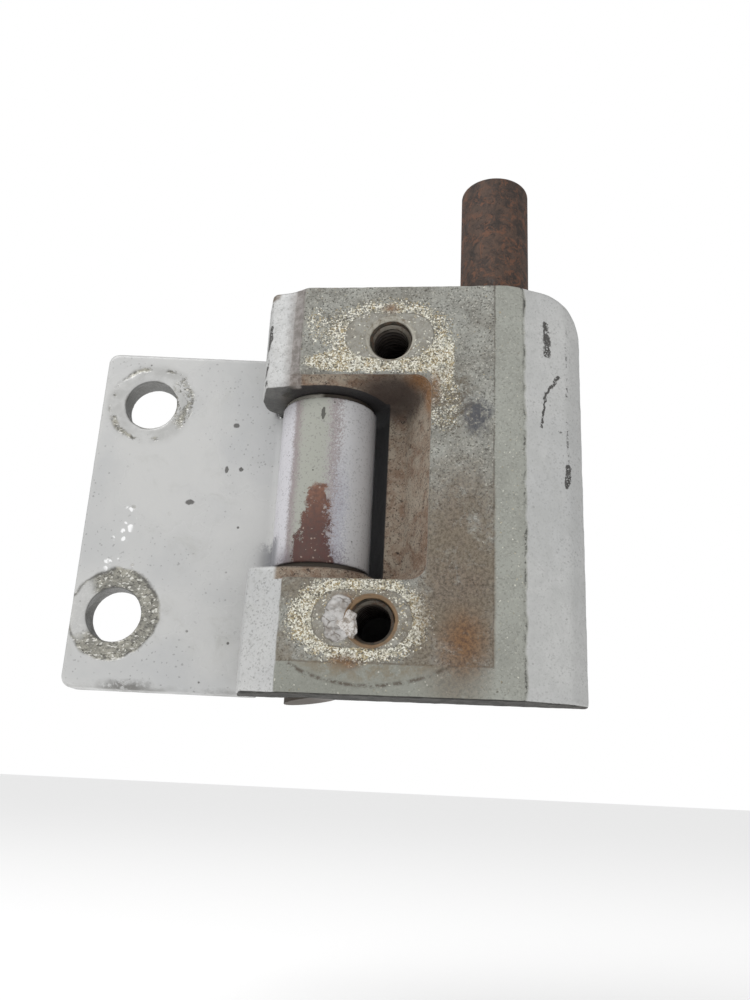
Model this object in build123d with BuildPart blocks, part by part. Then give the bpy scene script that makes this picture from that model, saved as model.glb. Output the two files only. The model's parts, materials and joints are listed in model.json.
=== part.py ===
"""Heavy cast door hinge: a bracket with two ears, a leaf that swings on a fixed pin, and a stub pin.

Frame: the mating face of the bracket is the plane Y = 0 and its normal is -Y. The origin lies on that
face, midway between the two tapped holes. +X runs from the hinge pin to the stub pin and +Z runs up
along both pins. The leaf is drawn resting on its stop. All sizes are in millimetres.
"""
import os
from math import cos, radians, sin, sqrt

from build123d import *

os.makedirs("parts", exist_ok=True)

# Hinge axis and swing
hinge_x = -12.25
hinge_y = 12.5
leaf_angle = 5.9            # the leaf at its stop, turned towards the mating side
full_swing = 85.0           # travel from the stop, away from the mating side
swing_gap = 0.3             # room left between the swinging leaf and the bracket

# Knuckle, ears and hinge pin
knuckle_radius = 9.5
knuckle_half = 16.5
ear_radius = 11.5
ear_half_gap = 17.6
seat_radius = 12.2          # the hollow round the knuckle
hinge_pin_radius = 5.0
pin_running_gap = 0.05
pin_end_chamfer = 0.6
pin_end_drop = 0.75         # the pin's slanted lower end, at its lowest, below the casting
pin_end_slant = 9.0

# Flanged bushes
bush_outer_radius = 6.5
bush_length = 14.0
bush_flange_radius = 9.0
bush_flange = 1.0
bush_edge = 0.3

# Leaf
leaf_thickness = 5.6
leaf_top = 30.5
leaf_bottom = -39.7
leaf_reach = 48.2           # from the hinge axis to the free edge
leaf_notch_reach = 11.3     # from the hinge axis to the plate's edge beside an ear
web_half = 17.35            # half the height of the web between the plate and the knuckle
web_lap = 3.0               # how far the web reaches into the plate
facing_radius = 9.8         # the knuckle's ends are faced back inside this radius
leaf_corner = 2.2
leaf_edge = 0.7             # rounding round the plate's free outline
root_fillet = 2.0
leaf_hole_radius = 5.25
leaf_hole_edge = 0.35
upper_leaf_hole = (37.9, 19.1)      # distance from the hinge axis, height
lower_leaf_hole = (39.8, -25.4)

# Bracket outline
bracket_top = 39.0
bracket_bottom = -40.5
pad_left = -16.4
pad_right = 25.8
bevel_end_x = 34.6
bevel_end_y = 4.1
bracket_right = 37.4
bracket_depth = 22.0
straight_depth = 9.0        # the outer walls are square to the mating face down to here
draft_depth = 27.0          # and then taper in by draft_inset down to here
draft_inset = 1.9
top_corner = 8.5
top_rounding = 1.8          # along the bevel's top edge, the corner and the outer side
outer_rounding = 3.4
rear_rounding = 6.5
envelope_left = -27.5

# Ear noses, which stop the leaf
nose_step_x = -18.6
nose_step_y = 1.2
nose_left_x = -23.7
nose_left_y = 2.1
nose_bulge_x = -25.7
nose_bulge_y = 8.6
nose_rear_x = -25.85
nose_root_reach = 5.0       # where the stop face ends inside the boss, from the hinge axis
stop_gap = 0.12             # paint-thin gap between the nose and the leaf at rest
nose_front_rounding = 1.2
nose_rear_rounding = 3.4
nose_rounding = 0.9

# Pocket for the knuckle
pocket_half_mouth = 20.0
pocket_half_floor = 18.0
pocket_mouth_right = 9.0
pocket_floor_right = 3.4
pocket_floor_depth = 10.6
pocket_mouth_corner = 3.2
pocket_floor_corner = 2.4

# Tapped holes in the mating face: M8, drawn at the thread's outer diameter
tapped_radius = 4.0
tapped_depth = 17.0
tapped_mouth_radius = 4.85
tapped_positions = ((0.6, 27.5), (-0.6, -27.5))

# Stub pin
stub_x = 20.7
stub_y = 11.0
stub_radius = 7.0
stub_top = 67.3
stub_seat_radius = 6.5      # the pin is turned down where it is pressed into the casting
stub_seat_bottom = -12.0
stub_rounding = 1.0

# Spring pins that lock the two pins, driven in from the rear
lock_radius = 2.0
lock_wall = 0.4
lock_slot = 0.7
hinge_lock_z = -29.0
stub_lock_z = 12.0
lock_sink = 1.2             # how far a spring pin stops below the rear face
lock_blind_end = 1.5        # metal left between a spring pin and the near side of its main pin
lock_open_end = 6.0         # extra length that opens the hole through the rear face

# Leaf directions at rest: along the plate away from the axis, and out of its rear face
along = (-cos(radians(leaf_angle)), -sin(radians(leaf_angle)))
rearward = (-sin(radians(leaf_angle)), cos(radians(leaf_angle)))
leaf_front = knuckle_radius - leaf_thickness


def leaf_point(reach, depth):
    """A point in plan, given by its distance along the leaf and behind the hinge axis."""
    return (
        hinge_x + reach * along[0] + depth * rearward[0],
        hinge_y + reach * along[1] + depth * rearward[1],
    )


def leaf_plane(depth):
    """A plane square to the leaf's thickness: its x runs along the leaf and its y runs up."""
    x, y = leaf_point(0, depth)
    return Plane(origin=(x, y, 0), x_dir=(along[0], along[1], 0), z_dir=(rearward[0], rearward[1], 0))


# ---------------------------------------------------------------- bracket
stop_depth = leaf_front - stop_gap
nose_rear_reach = (hinge_x - nose_rear_x + stop_depth * rearward[0]) / -along[0]
nose_rear = leaf_point(nose_rear_reach, stop_depth)
nose_root = leaf_point(nose_root_reach, stop_depth)

# The rearmost wall beside the knuckle ends on this line, parallel to the leaf at full swing
end_turn = radians(90 + leaf_angle - full_swing)
clear_depth = knuckle_radius + swing_gap
wall_x = hinge_x + clear_depth * cos(end_turn)
wall_y = hinge_y + clear_depth * sin(end_turn)
past_the_rear = 30.0
wall_end_x = wall_x - past_the_rear * sin(end_turn)
wall_end_y = wall_y + past_the_rear * cos(end_turn)
# The spring pins start at these planes inside the casting and run out to the rear
hinge_lock_start = hinge_y - hinge_pin_radius + lock_blind_end
hinge_lock_length = hinge_y + ear_radius - lock_sink - hinge_lock_start
hinge_lock_plane = Plane(origin=(hinge_x, hinge_lock_start, hinge_lock_z), x_dir=(1, 0, 0), z_dir=(0, 1, 0))
stub_lock_start = stub_y - stub_seat_radius + lock_blind_end
stub_lock_length = bracket_depth - lock_sink - stub_lock_start
stub_lock_plane = Plane(origin=(stub_x, stub_lock_start, stub_lock_z), x_dir=(1, 0, 0), z_dir=(0, 1, 0))


def casting_outline(depth, inset):
    """The bracket's outline in X and Z at a depth behind the mating face, drawn in by inset."""
    width = bracket_right - envelope_left - 2 * inset
    height = bracket_top - bracket_bottom - 2 * inset
    with BuildSketch(Plane.XZ.offset(-depth)) as outline:
        with Locations(((bracket_right + envelope_left) / 2, (bracket_top + bracket_bottom) / 2)):
            Rectangle(width, height)
        fillet(outline.vertices().group_by(Axis.X)[-1].sort_by(Axis.Y)[-1], top_corner - inset)
    return outline.sketch


def pocket_outline(depth, right, half_height, corner):
    """The pocket's outline at a depth behind the mating face; it is open to the left."""
    with BuildSketch(Plane.XZ.offset(-depth)) as outline:
        with Locations(((right + envelope_left) / 2, 0)):
            Rectangle(right - envelope_left, 2 * half_height)
        fillet(outline.vertices().group_by(Axis.X)[-1], corner)
    return outline.sketch


def ear_section(height):
    """An ear in plan: a boss round the hinge pin and the nose that the leaf stops against."""
    with BuildSketch(Plane.XY.offset(height)) as section:
        with BuildLine():
            Polyline(
                (nose_step_x, nose_step_y),
                (nose_left_x, nose_left_y),
                (nose_bulge_x, nose_bulge_y),
                nose_rear,
                nose_root,
                (hinge_x, hinge_y),
                (hinge_x, hinge_y - ear_radius),
                close=True,
            )
        make_face()
        fillet(section.vertices().sort_by_distance(nose_rear)[0], nose_rear_rounding)
        fillet(section.vertices().sort_by_distance((nose_left_x, nose_left_y))[0], nose_front_rounding)
        with Locations((hinge_x, hinge_y)):
            Circle(ear_radius)
    return section.sketch


def on_bevel_outline(edge):
    """True for the edges where the bevel and the outer side meet the top and its rounded corner."""
    middle = edge.center()
    right_of_pad = middle.X > pad_right and middle.Y < straight_depth - 1
    between_walls = abs(middle.X - (bracket_right - top_corner)) < 0.1
    return right_of_pad and middle.Z > bracket_top - top_corner + 1 and not between_walls


# The casting's outer walls: square at the front, then drafted towards the rear
with BuildPart() as envelope:
    extrude(casting_outline(-1, 0), amount=-(straight_depth + 1))
    loft([casting_outline(straight_depth, 0), casting_outline(draft_depth, draft_inset)], ruled=True)

# The pocket's sloping walls
with BuildPart() as pocket:
    mouth = pocket_outline(0, pocket_mouth_right, pocket_half_mouth, pocket_mouth_corner)
    floor = pocket_outline(pocket_floor_depth, pocket_floor_right, pocket_half_floor, pocket_floor_corner)
    loft([mouth, floor], ruled=True)

with BuildPart() as bracket:
    # Pad, bevel and the thick outer boss, drawn in plan over the full height
    with BuildSketch(Plane.XY.offset(bracket_bottom)) as body_section:
        with BuildLine():
            Polyline(
                (pad_left, 0),
                (pad_right, 0),
                (bevel_end_x, bevel_end_y),
                (bracket_right, bevel_end_y + outer_rounding),
                (bracket_right, bracket_depth),
                (stub_x, bracket_depth),
                (hinge_x, hinge_y + ear_radius),
                (hinge_x, hinge_y - ear_radius),
                (nose_step_x, nose_step_y),
                close=True,
            )
        make_face()
        fillet(body_section.vertices().sort_by_distance((bevel_end_x, bevel_end_y))[0], outer_rounding)
        fillet(body_section.vertices().sort_by_distance((bracket_right, bracket_depth))[0], rear_rounding)
    extrude(amount=bracket_top - bracket_bottom)
    # Pocket, then the seat that clears the knuckle, open to the left and to the rear for the leaf
    add(pocket.part, mode=Mode.SUBTRACT)
    with BuildSketch(Plane.XY.offset(-ear_half_gap)):
        with Locations((hinge_x, hinge_y)):
            Circle(seat_radius)
        with BuildLine():
            Polyline(
                (hinge_x, -1),
                (hinge_x, hinge_y),
                (wall_x, wall_y),
                (wall_end_x, wall_end_y),
                (envelope_left, wall_end_y),
                (envelope_left, -1),
                close=True,
            )
        make_face()
    extrude(amount=2 * ear_half_gap, mode=Mode.SUBTRACT)
    # Ears
    extrude(ear_section(ear_half_gap), amount=bracket_top - ear_half_gap)
    extrude(ear_section(bracket_bottom), amount=-ear_half_gap - bracket_bottom)
    add(envelope.part, mode=Mode.INTERSECT)
    # Soft cast edges: along the top of the bevel, and round each nose
    above_bend = bracket.edges().filter_by_position(Axis.Z, bracket_top - top_corner, bracket_top)
    fillet(above_bend.filter_by(on_bevel_outline), top_rounding)
    for level in (bracket_top, ear_half_gap, -ear_half_gap, bracket_bottom):
        rim = bracket.edges().filter_by_position(Axis.Z, level, level)
        nose_rim = rim.filter_by_position(Axis.X, envelope_left, nose_step_x)
        fillet(nose_rim, nose_rounding)
    # Bores for the two pins and for the spring pins that lock them
    with Locations((hinge_x, hinge_y, bracket_top)):
        Hole(hinge_pin_radius, depth=bracket_top - bracket_bottom)
    with Locations((stub_x, stub_y, bracket_top)):
        Hole(stub_seat_radius, depth=bracket_top - stub_seat_bottom)
    with BuildSketch(hinge_lock_plane):
        Circle(lock_radius)
    extrude(amount=hinge_lock_length + lock_open_end, mode=Mode.SUBTRACT)
    with BuildSketch(stub_lock_plane):
        Circle(lock_radius)
    extrude(amount=stub_lock_length + lock_open_end, mode=Mode.SUBTRACT)
    # Tapped holes with their chamfered mouths
    for tapped_x, tapped_z in tapped_positions:
        with Locations(Plane(origin=(tapped_x, 0, tapped_z), z_dir=(0, -1, 0))):
            CounterSinkHole(tapped_radius, tapped_mouth_radius, depth=tapped_depth)
bracket.part.label = "bracket"

# ---------------------------------------------------------------- leaf
with BuildPart() as leaf:
    # The plate's full outline, drawn on its rear face
    plate_middle = (leaf_top + leaf_bottom) / 2
    with BuildSketch(leaf_plane(knuckle_radius)) as plate_outline:
        with Locations(((leaf_reach + leaf_notch_reach) / 2, plate_middle)):
            Rectangle(leaf_reach - leaf_notch_reach, leaf_top - leaf_bottom)
        fillet(plate_outline.vertices().group_by(Axis.X)[-1], leaf_corner)
    extrude(amount=-leaf_thickness)
    broad_faces = leaf.faces().sort_by(SortBy.AREA)[-2:]
    free_outline = broad_faces.edges().filter_by(lambda edge: edge.center().X < hinge_x - leaf_notch_reach - 1)
    fillet(free_outline, leaf_edge)
    # The knuckle and the web that joins it to the plate between the ears
    with BuildSketch(Plane(origin=(hinge_x, hinge_y, -web_half), x_dir=(*along, 0))) as knuckle:
        with Locations(((leaf_notch_reach + web_lap) / 2, -(leaf_front + knuckle_radius) / 2)):
            Rectangle(leaf_notch_reach + web_lap, leaf_thickness)
        Circle(knuckle_radius)
        root_reach = sqrt(knuckle_radius**2 - leaf_front**2)
        fillet(knuckle.vertices().sort_by_distance((root_reach, -leaf_front))[0], root_fillet)
    extrude(amount=2 * web_half)
    # The knuckle's ends are faced back to take the bush flanges
    for facing_plane in (Plane.XY.offset(knuckle_half), Plane.XY.offset(-web_half)):
        with BuildSketch(facing_plane):
            with Locations((hinge_x, hinge_y)):
                Circle(facing_radius)
        extrude(amount=web_half - knuckle_half, mode=Mode.SUBTRACT)
    with Locations((hinge_x, hinge_y, knuckle_half)):
        Hole(bush_outer_radius, depth=2 * knuckle_half)
    for reach, height in (upper_leaf_hole, lower_leaf_hole):
        with Locations(leaf_plane(leaf_front)):
            with Locations((reach, height)):
                Hole(leaf_hole_radius, depth=2 * leaf_thickness)
    round_edges = leaf.edges().filter_by(GeomType.CIRCLE)
    chamfer(round_edges.filter_by(lambda edge: abs(edge.radius - leaf_hole_radius) < 0.01), leaf_hole_edge)
leaf.part.label = "leaf"

# ---------------------------------------------------------------- pins
with BuildPart() as hinge_pin:
    with BuildSketch(Plane.XY.offset(bracket_top)):
        with Locations((hinge_x, hinge_y)):
            Circle(hinge_pin_radius)
    extrude(amount=bracket_bottom - pin_end_drop - bracket_top)
    chamfer(hinge_pin.edges().group_by(Axis.Z)[-1], pin_end_chamfer)
    # The lower end is cropped at a slant
    slant = radians(pin_end_slant)
    lowest = (hinge_x - hinge_pin_radius, hinge_y, bracket_bottom - pin_end_drop)
    split(bisect_by=Plane(origin=lowest, z_dir=(-sin(slant), 0, cos(slant))), keep=Keep.TOP)
    with BuildSketch(hinge_lock_plane):
        Circle(lock_radius)
    extrude(amount=hinge_lock_length, mode=Mode.SUBTRACT)
hinge_pin.part.label = "hinge_pin"

with BuildPart() as stub_pin:
    with BuildSketch(Plane.XY.offset(stub_seat_bottom)):
        with Locations((stub_x, stub_y)):
            Circle(stub_seat_radius)
    extrude(amount=bracket_top - stub_seat_bottom)
    with BuildSketch(Plane.XY.offset(bracket_top)):
        with Locations((stub_x, stub_y)):
            Circle(stub_radius)
    extrude(amount=stub_top - bracket_top)
    fillet(stub_pin.edges().group_by(Axis.Z)[-1], stub_rounding)
    with BuildSketch(stub_lock_plane):
        Circle(lock_radius)
    extrude(amount=stub_lock_length, mode=Mode.SUBTRACT)
stub_pin.part.label = "stub_pin"


# ---------------------------------------------------------------- spring pins
def spring_pin(plane, length):
    """A slotted tube that springs against the hole it is driven into."""
    with BuildPart() as pin:
        with BuildSketch(plane):
            Circle(lock_radius)
            Circle(lock_radius - lock_wall, mode=Mode.SUBTRACT)
            with Locations((lock_radius, 0)):
                Rectangle(2 * lock_radius, lock_slot, mode=Mode.SUBTRACT)
        extrude(amount=length)
    return pin.part


with BuildPart() as hinge_pin_lock:
    add(spring_pin(hinge_lock_plane, hinge_lock_length))
hinge_pin_lock.part.label = "hinge_pin_lock"

with BuildPart() as stub_pin_lock:
    add(spring_pin(stub_lock_plane, stub_lock_length))
stub_pin_lock.part.label = "stub_pin_lock"

# ---------------------------------------------------------------- bushes
with BuildPart() as upper_bush:
    bush_bore = hinge_pin_radius + pin_running_gap
    with BuildSketch(Plane(origin=(hinge_x, hinge_y, knuckle_half), x_dir=(1, 0, 0), z_dir=(0, -1, 0))):
        with BuildLine():
            Polyline(
                (bush_bore, -bush_length),
                (bush_outer_radius, -bush_length),
                (bush_outer_radius, 0),
                (bush_flange_radius, 0),
                (bush_flange_radius, bush_flange),
                (bush_bore, bush_flange),
                close=True,
            )
        make_face()
    revolve(axis=Axis((hinge_x, hinge_y, 0), (0, 0, 1)))
    chamfer(upper_bush.edges().group_by(Axis.Z)[-1].sort_by(SortBy.LENGTH)[-1], bush_edge)
upper_bush.part.label = "upper_bush"

with BuildPart() as lower_bush:
    mirror(upper_bush.part, about=Plane.XY)
lower_bush.part.label = "lower_bush"

# ---------------------------------------------------------------- export
nodes = (bracket, leaf, hinge_pin, stub_pin, hinge_pin_lock, stub_pin_lock, upper_bush, lower_bush)
for node in nodes:
    export_step(node.part, f"parts/{node.part.label}.step")
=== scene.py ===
"""The looks of the door hinge: worn paint, bare cast face, rust and threads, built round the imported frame."""
import json
from math import cos, pi, radians, sin

import bmesh
import bpy
from mathutils import Matrix, Vector, noise


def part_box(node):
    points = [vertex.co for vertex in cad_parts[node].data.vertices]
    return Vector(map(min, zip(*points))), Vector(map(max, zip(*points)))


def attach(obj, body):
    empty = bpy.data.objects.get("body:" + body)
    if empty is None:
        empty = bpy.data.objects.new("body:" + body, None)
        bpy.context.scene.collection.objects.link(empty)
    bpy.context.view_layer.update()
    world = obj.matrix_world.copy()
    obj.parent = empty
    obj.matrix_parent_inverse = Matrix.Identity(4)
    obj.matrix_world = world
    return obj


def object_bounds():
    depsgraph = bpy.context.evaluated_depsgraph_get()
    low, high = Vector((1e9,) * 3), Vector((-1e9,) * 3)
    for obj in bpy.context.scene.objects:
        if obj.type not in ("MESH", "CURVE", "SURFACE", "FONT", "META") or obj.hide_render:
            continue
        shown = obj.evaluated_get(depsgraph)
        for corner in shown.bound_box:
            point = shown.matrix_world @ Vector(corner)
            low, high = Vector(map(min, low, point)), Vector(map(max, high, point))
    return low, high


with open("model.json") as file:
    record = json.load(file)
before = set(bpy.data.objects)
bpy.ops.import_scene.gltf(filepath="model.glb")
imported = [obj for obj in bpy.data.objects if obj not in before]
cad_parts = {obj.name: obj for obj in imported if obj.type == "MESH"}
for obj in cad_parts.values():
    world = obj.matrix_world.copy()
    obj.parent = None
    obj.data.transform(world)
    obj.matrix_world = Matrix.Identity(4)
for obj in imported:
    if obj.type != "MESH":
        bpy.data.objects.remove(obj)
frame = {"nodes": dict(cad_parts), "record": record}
cad_low, cad_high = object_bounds()
mounts = {mount["name"]: mount for mount in frame["record"]["mounts"]}
MM = 0.001


# ------------------------------------------------------------ places, in millimetres
def mount_mm(name):
    """A mount's position in millimetres."""
    return Vector(mounts[name]["pos_m"]) / MM


def box_mm(node):
    """A node's lowest and highest corners in millimetres."""
    low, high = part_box(node)
    return Vector(low) / MM, Vector(high) / MM


bracket_low, _ = box_mm("bracket")
leaf_low, _ = box_mm("leaf")
pin_low, pin_high = box_mm("hinge_pin")
stub_low, stub_high = box_mm("stub_pin")
hinge_x, hinge_y = (pin_low.x + pin_high.x) / 2, (pin_low.y + pin_high.y) / 2
upper_tap, lower_tap = mount_mm("upper_tapped_hole"), mount_mm("lower_tapped_hole")
upper_leaf_hole, lower_leaf_hole = mount_mm("upper_leaf_hole"), mount_mm("lower_leaf_hole")
leaf_normal = -Vector(mounts["leaf_rear_face"]["axis"])

LEAF_HOLE_WALL = (5.5, 5.35)    # between these distances from a leaf hole's axis its dark wall begins
WASHER_RADIUS = 9.0             # how far the leaf's bolt washers reached
KNUCKLE_RADIUS = 9.5
KNUCKLE_HALF = 17.3             # half the knuckle's height
EAR_RADIUS = 11.5               # the ears' round ends
HOLLOW_EDGE = (12.7, 12.4)      # between these distances from the hinge pin the knuckle's hollow begins
PAD_LEFT = -17.2                # the mating face's left edge
PAD_RIGHT = 25.8                # the mating face's right edge
SLOPE_LEFT = -18.9              # the slope beside the mating face runs from here to SLOPE_RIGHT
SLOPE_RIGHT = -16.4
POCKET_LEFT = -26.0
POCKET_RIGHT = 9.4
POCKET_HALF = 20.3              # half the pocket's height
PRINT_RIGHT = (stub_low.x + stub_high.x) / 2    # the mated part's print ends under the stub pin's axis
PRINT_BOTTOM = -35.0


# ------------------------------------------------------------ node graphs
class Graph:
    """A material's node graph, with short calls for the maths that its masks and colours need."""

    def __init__(self, name):
        self.material = bpy.data.materials.new(name)
        self.material.use_nodes = True
        self.tree = self.material.node_tree
        self.tree.nodes.clear()
        self.shader = self.tree.nodes.new("ShaderNodeBsdfPrincipled")
        output = self.tree.nodes.new("ShaderNodeOutputMaterial")
        self.tree.links.new(self.shader.outputs[0], output.inputs[0])
        coordinates = self.tree.nodes.new("ShaderNodeTexCoord")
        self.place = self.vector("MULTIPLY", coordinates.outputs["Object"], (1000, 1000, 1000))
        self.x, self.y, self.z = self.split(self.place)
        self.nx, self.ny, self.nz = self.split(coordinates.outputs["Normal"])

    def set(self, socket, value):
        """Links a socket, or gives it a plain value."""
        if isinstance(value, bpy.types.NodeSocket):
            self.tree.links.new(value, socket)
        else:
            socket.default_value = value

    def vector(self, operation, first, second):
        node = self.tree.nodes.new("ShaderNodeVectorMath")
        node.operation = operation
        self.set(node.inputs[0], first)
        self.set(node.inputs[1], second)
        return node.outputs["Value" if operation in ("DISTANCE", "DOT_PRODUCT") else "Vector"]

    def split(self, vector):
        node = self.tree.nodes.new("ShaderNodeSeparateXYZ")
        self.set(node.inputs[0], vector)
        return node.outputs[:]

    def join(self, x, y, z):
        node = self.tree.nodes.new("ShaderNodeCombineXYZ")
        for socket, value in zip(node.inputs, (x, y, z)):
            self.set(socket, value)
        return node.outputs[0]

    def math(self, operation, first, second=0.0):
        node = self.tree.nodes.new("ShaderNodeMath")
        node.operation = operation
        self.set(node.inputs[0], first)
        self.set(node.inputs[1], second)
        return node.outputs[0]

    def add(self, first, second):
        return self.math("ADD", first, second)

    def subtract(self, first, second):
        return self.math("SUBTRACT", first, second)

    def times(self, *factors):
        result = factors[0]
        for factor in factors[1:]:
            result = self.math("MULTIPLY", result, factor)
        return result

    def most(self, *values):
        result = values[0]
        for value in values[1:]:
            result = self.math("MAXIMUM", result, value)
        return result

    def without(self, value):
        return self.math("SUBTRACT", 1.0, value)

    def step(self, value, low, high):
        """0 up to low, 1 from high, smooth between; low may be the larger."""
        node = self.tree.nodes.new("ShaderNodeMapRange")
        node.interpolation_type = "SMOOTHSTEP"
        self.set(node.inputs["Value"], value)
        if low < high:
            node.inputs["From Min"].default_value, node.inputs["From Max"].default_value = low, high
            return node.outputs[0]
        node.inputs["From Min"].default_value, node.inputs["From Max"].default_value = high, low
        return self.without(node.outputs[0])

    def band(self, value, low, high, soft):
        """1 between low and high, with edges that are soft wide."""
        rising = self.step(value, low - soft, low + soft)
        return self.times(rising, self.step(value, high + soft, high - soft))

    def texture(self, kind, size, seed, vector):
        """A texture of the kind Noise or Voronoi, with a fourth coordinate, seed, that picks its pattern."""
        node = self.tree.nodes.new("ShaderNodeTex" + kind)
        setattr(node, kind.lower() + "_dimensions", "4D")
        self.set(node.inputs["Vector"], vector or self.place)
        node.inputs["W"].default_value = seed
        node.inputs["Scale"].default_value = 1 / size
        return node

    def noise(self, size, detail, roughness, distortion, seed, vector=None):
        """Cloudy noise from 0 to 1 whose largest features are about size millimetres across."""
        node = self.texture("Noise", size, seed, vector)
        node.inputs["Detail"].default_value = detail
        node.inputs["Roughness"].default_value = roughness
        node.inputs["Distortion"].default_value = distortion
        return node.outputs[0]

    def patches(self, low, high, *noise):
        """Cloudy noise sharpened into patches, from 0 where it is under low to 1 where it is over high."""
        return self.step(self.noise(*noise), low, high)

    def cells(self, size, seed, vector=None):
        """Distance from the nearest of scattered points about size millimetres apart, in those spacings."""
        return self.texture("Voronoi", size, seed, vector).outputs["Distance"]

    def facets(self, size, seed, vector=None):
        """Three random numbers from 0 to 1 for each of many small cells about size millimetres across."""
        return self.split(self.texture("Voronoi", size, seed, vector).outputs["Color"])

    def cracks(self, size, seed, vector):
        """Distance from the nearest border between scattered cells, in spacings."""
        node = self.tree.nodes.new("ShaderNodeTexVoronoi")
        node.voronoi_dimensions = "3D"
        node.feature = "DISTANCE_TO_EDGE"
        self.set(node.inputs["Vector"], self.vector("ADD", vector, (seed, seed, seed)))
        node.inputs["Scale"].default_value = 1 / size
        return node.outputs["Distance"]

    def wavering(self, amount, size, seed):
        """The place, pushed about by amount millimetres, so that edges come out ragged."""
        node = self.texture("Noise", size, seed, None)
        node.inputs["Detail"].default_value = 4.0
        centred = self.vector("SUBTRACT", node.outputs["Color"], (0.5, 0.5, 0.5))
        return self.vector("ADD", self.place, self.vector("MULTIPLY", centred, (2 * amount,) * 3))

    def away(self, centre, vector=None):
        """Distance in millimetres from a point."""
        return self.vector("DISTANCE", vector or self.place, tuple(centre))

    def away_from_line(self, point, direction):
        """Distance in millimetres from the line through a point."""
        offset = self.vector("SUBTRACT", self.place, tuple(point))
        along = self.vector("DOT_PRODUCT", offset, tuple(direction))
        foot = self.vector("MULTIPLY", tuple(direction), self.join(along, along, along))
        return self.vector("DISTANCE", offset, foot)

    def spot(self, centre, radii, vector=None, *, soft):
        """1 inside an ellipsoid, fading at its rim."""
        offset = self.vector("SUBTRACT", vector or self.place, tuple(centre))
        scaled = self.vector("DIVIDE", offset, tuple(radii))
        return self.step(self.vector("DISTANCE", scaled, (0, 0, 0)), 1.0 + soft, 1.0 - soft)

    def streak(self, start, end, width, vector):
        """1 on a thin line between two points in X and Z, seen from the front."""
        (x0, z0), (x1, z1) = start, end
        length_squared = (x1 - x0) ** 2 + (z1 - z0) ** 2
        x, _, z = self.split(vector)
        dx, dz = self.subtract(x, x0), self.subtract(z, z0)
        share_x = self.times(dx, (x1 - x0) / length_squared)
        share_z = self.times(dz, (z1 - z0) / length_squared)
        along = self.math("MINIMUM", self.most(self.add(share_x, share_z), 0.0), 1.0)
        off_x = self.subtract(dx, self.times(along, x1 - x0))
        off_z = self.subtract(dz, self.times(along, z1 - z0))
        return self.step(self.away((0, 0, 0), self.join(off_x, 0.0, off_z)), width, width * 0.6)

    def mix(self, factor, first, second):
        node = self.tree.nodes.new("ShaderNodeMix")
        node.data_type = "RGBA"
        self.set(node.inputs["Factor"], factor)
        for socket, colour in ((node.inputs["A"], first), (node.inputs["B"], second)):
            colours = [s for s in node.inputs if s.name == socket.name and s.type == "RGBA"]
            self.set(colours[0], colour if isinstance(colour, bpy.types.NodeSocket) else (*colour, 1.0))
        return next(s for s in node.outputs if s.type == "RGBA")

    def over(self, under, colour, *shares):
        """One colour laid over another, as strongly as the product of the shares."""
        return self.mix(self.times(*shares), under, colour)

    def blend(self, factor, first, second):
        """A number between first and second."""
        node = self.tree.nodes.new("ShaderNodeMix")
        self.set(node.inputs["Factor"], factor)
        self.set(node.inputs["A"], first)
        self.set(node.inputs["B"], second)
        return node.outputs["Result"]

    def finish(self, colour, roughness, metallic, height):
        """Wires the shader; height is in millimetres."""
        self.set(self.shader.inputs["Base Color"], colour)
        self.set(self.shader.inputs["Roughness"], roughness)
        self.set(self.shader.inputs["Metallic"], metallic)
        node = self.tree.nodes.new("ShaderNodeBump")
        node.inputs["Strength"].default_value = 1.0
        node.inputs["Distance"].default_value = MM
        self.set(node.inputs["Height"], height)
        self.tree.links.new(node.outputs[0], self.shader.inputs["Normal"])
        return self.material


# ------------------------------------------------------------ colours
WHITE_PAINT = (0.565, 0.565, 0.555)
COOL_PAINT = (0.485, 0.49, 0.49)
OLD_PAINT = (0.42, 0.42, 0.395)
PIT_DARK = (0.045, 0.042, 0.036)
BARE_DARK = (0.16, 0.155, 0.14)
RUST_DUST = (0.19, 0.125, 0.085)
RUST_ORANGE = (0.21, 0.10, 0.035)
RUST_DARK = (0.035, 0.022, 0.017)
VIOLET_PAINT = (0.245, 0.20, 0.195)
# The lilac is lighter than the body paint: painted light on the knuckle's left side
LIT_LILAC_PAINT = (0.60, 0.59, 0.62)


def paint_layer(g, seed):
    """Old gloss paint: colour, roughness and height, with faint clouds, dark specks and an uneven skin."""
    clouds = g.noise(22, 4, 0.6, 0.4, seed)
    colour = g.mix(g.step(clouds, 0.35, 0.7), WHITE_PAINT, COOL_PAINT)
    grime = g.times(g.patches(0.54, 0.74, 9, 5, 0.7, 0.6, seed + 1), 0.5)
    colour = g.mix(grime, colour, OLD_PAINT)
    speck_size = g.noise(5, 2, 0.5, 0.0, seed + 2)
    specks = g.times(g.step(g.cells(2.3, seed), 0.15, 0.09), g.step(speck_size, 0.50, 0.58))
    fine_zones = g.patches(0.46, 0.60, 7, 3, 0.6, 0.0, seed + 6)
    fine_specks = g.times(g.step(g.cells(1.4, seed + 5), 0.13, 0.08), fine_zones)
    faint_specks = g.times(g.step(g.facets(0.30, seed + 7)[0], 0.030, 0.015), g.step(clouds, 0.40, 0.56))
    specks = g.most(specks, g.times(fine_specks, 0.6), g.times(faint_specks, 0.4))
    colour = g.over(colour, PIT_DARK, specks, 0.8)
    roughness = g.blend(g.step(clouds, 0.3, 0.7), 0.22, 0.38)
    small_waves = g.times(g.noise(2.6, 3, 0.5, 0.0, seed + 3), 0.05)
    skin = g.add(small_waves, g.times(g.noise(11, 2, 0.5, 0.0, seed + 4), 0.16))
    height = g.subtract(skin, g.times(specks, 0.03))
    return colour, roughness, height


# ------------------------------------------------------------ leaf
WORN_METAL = (0.43, 0.415, 0.355)
WORN_METAL_SHADE = (0.25, 0.245, 0.215)
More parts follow.
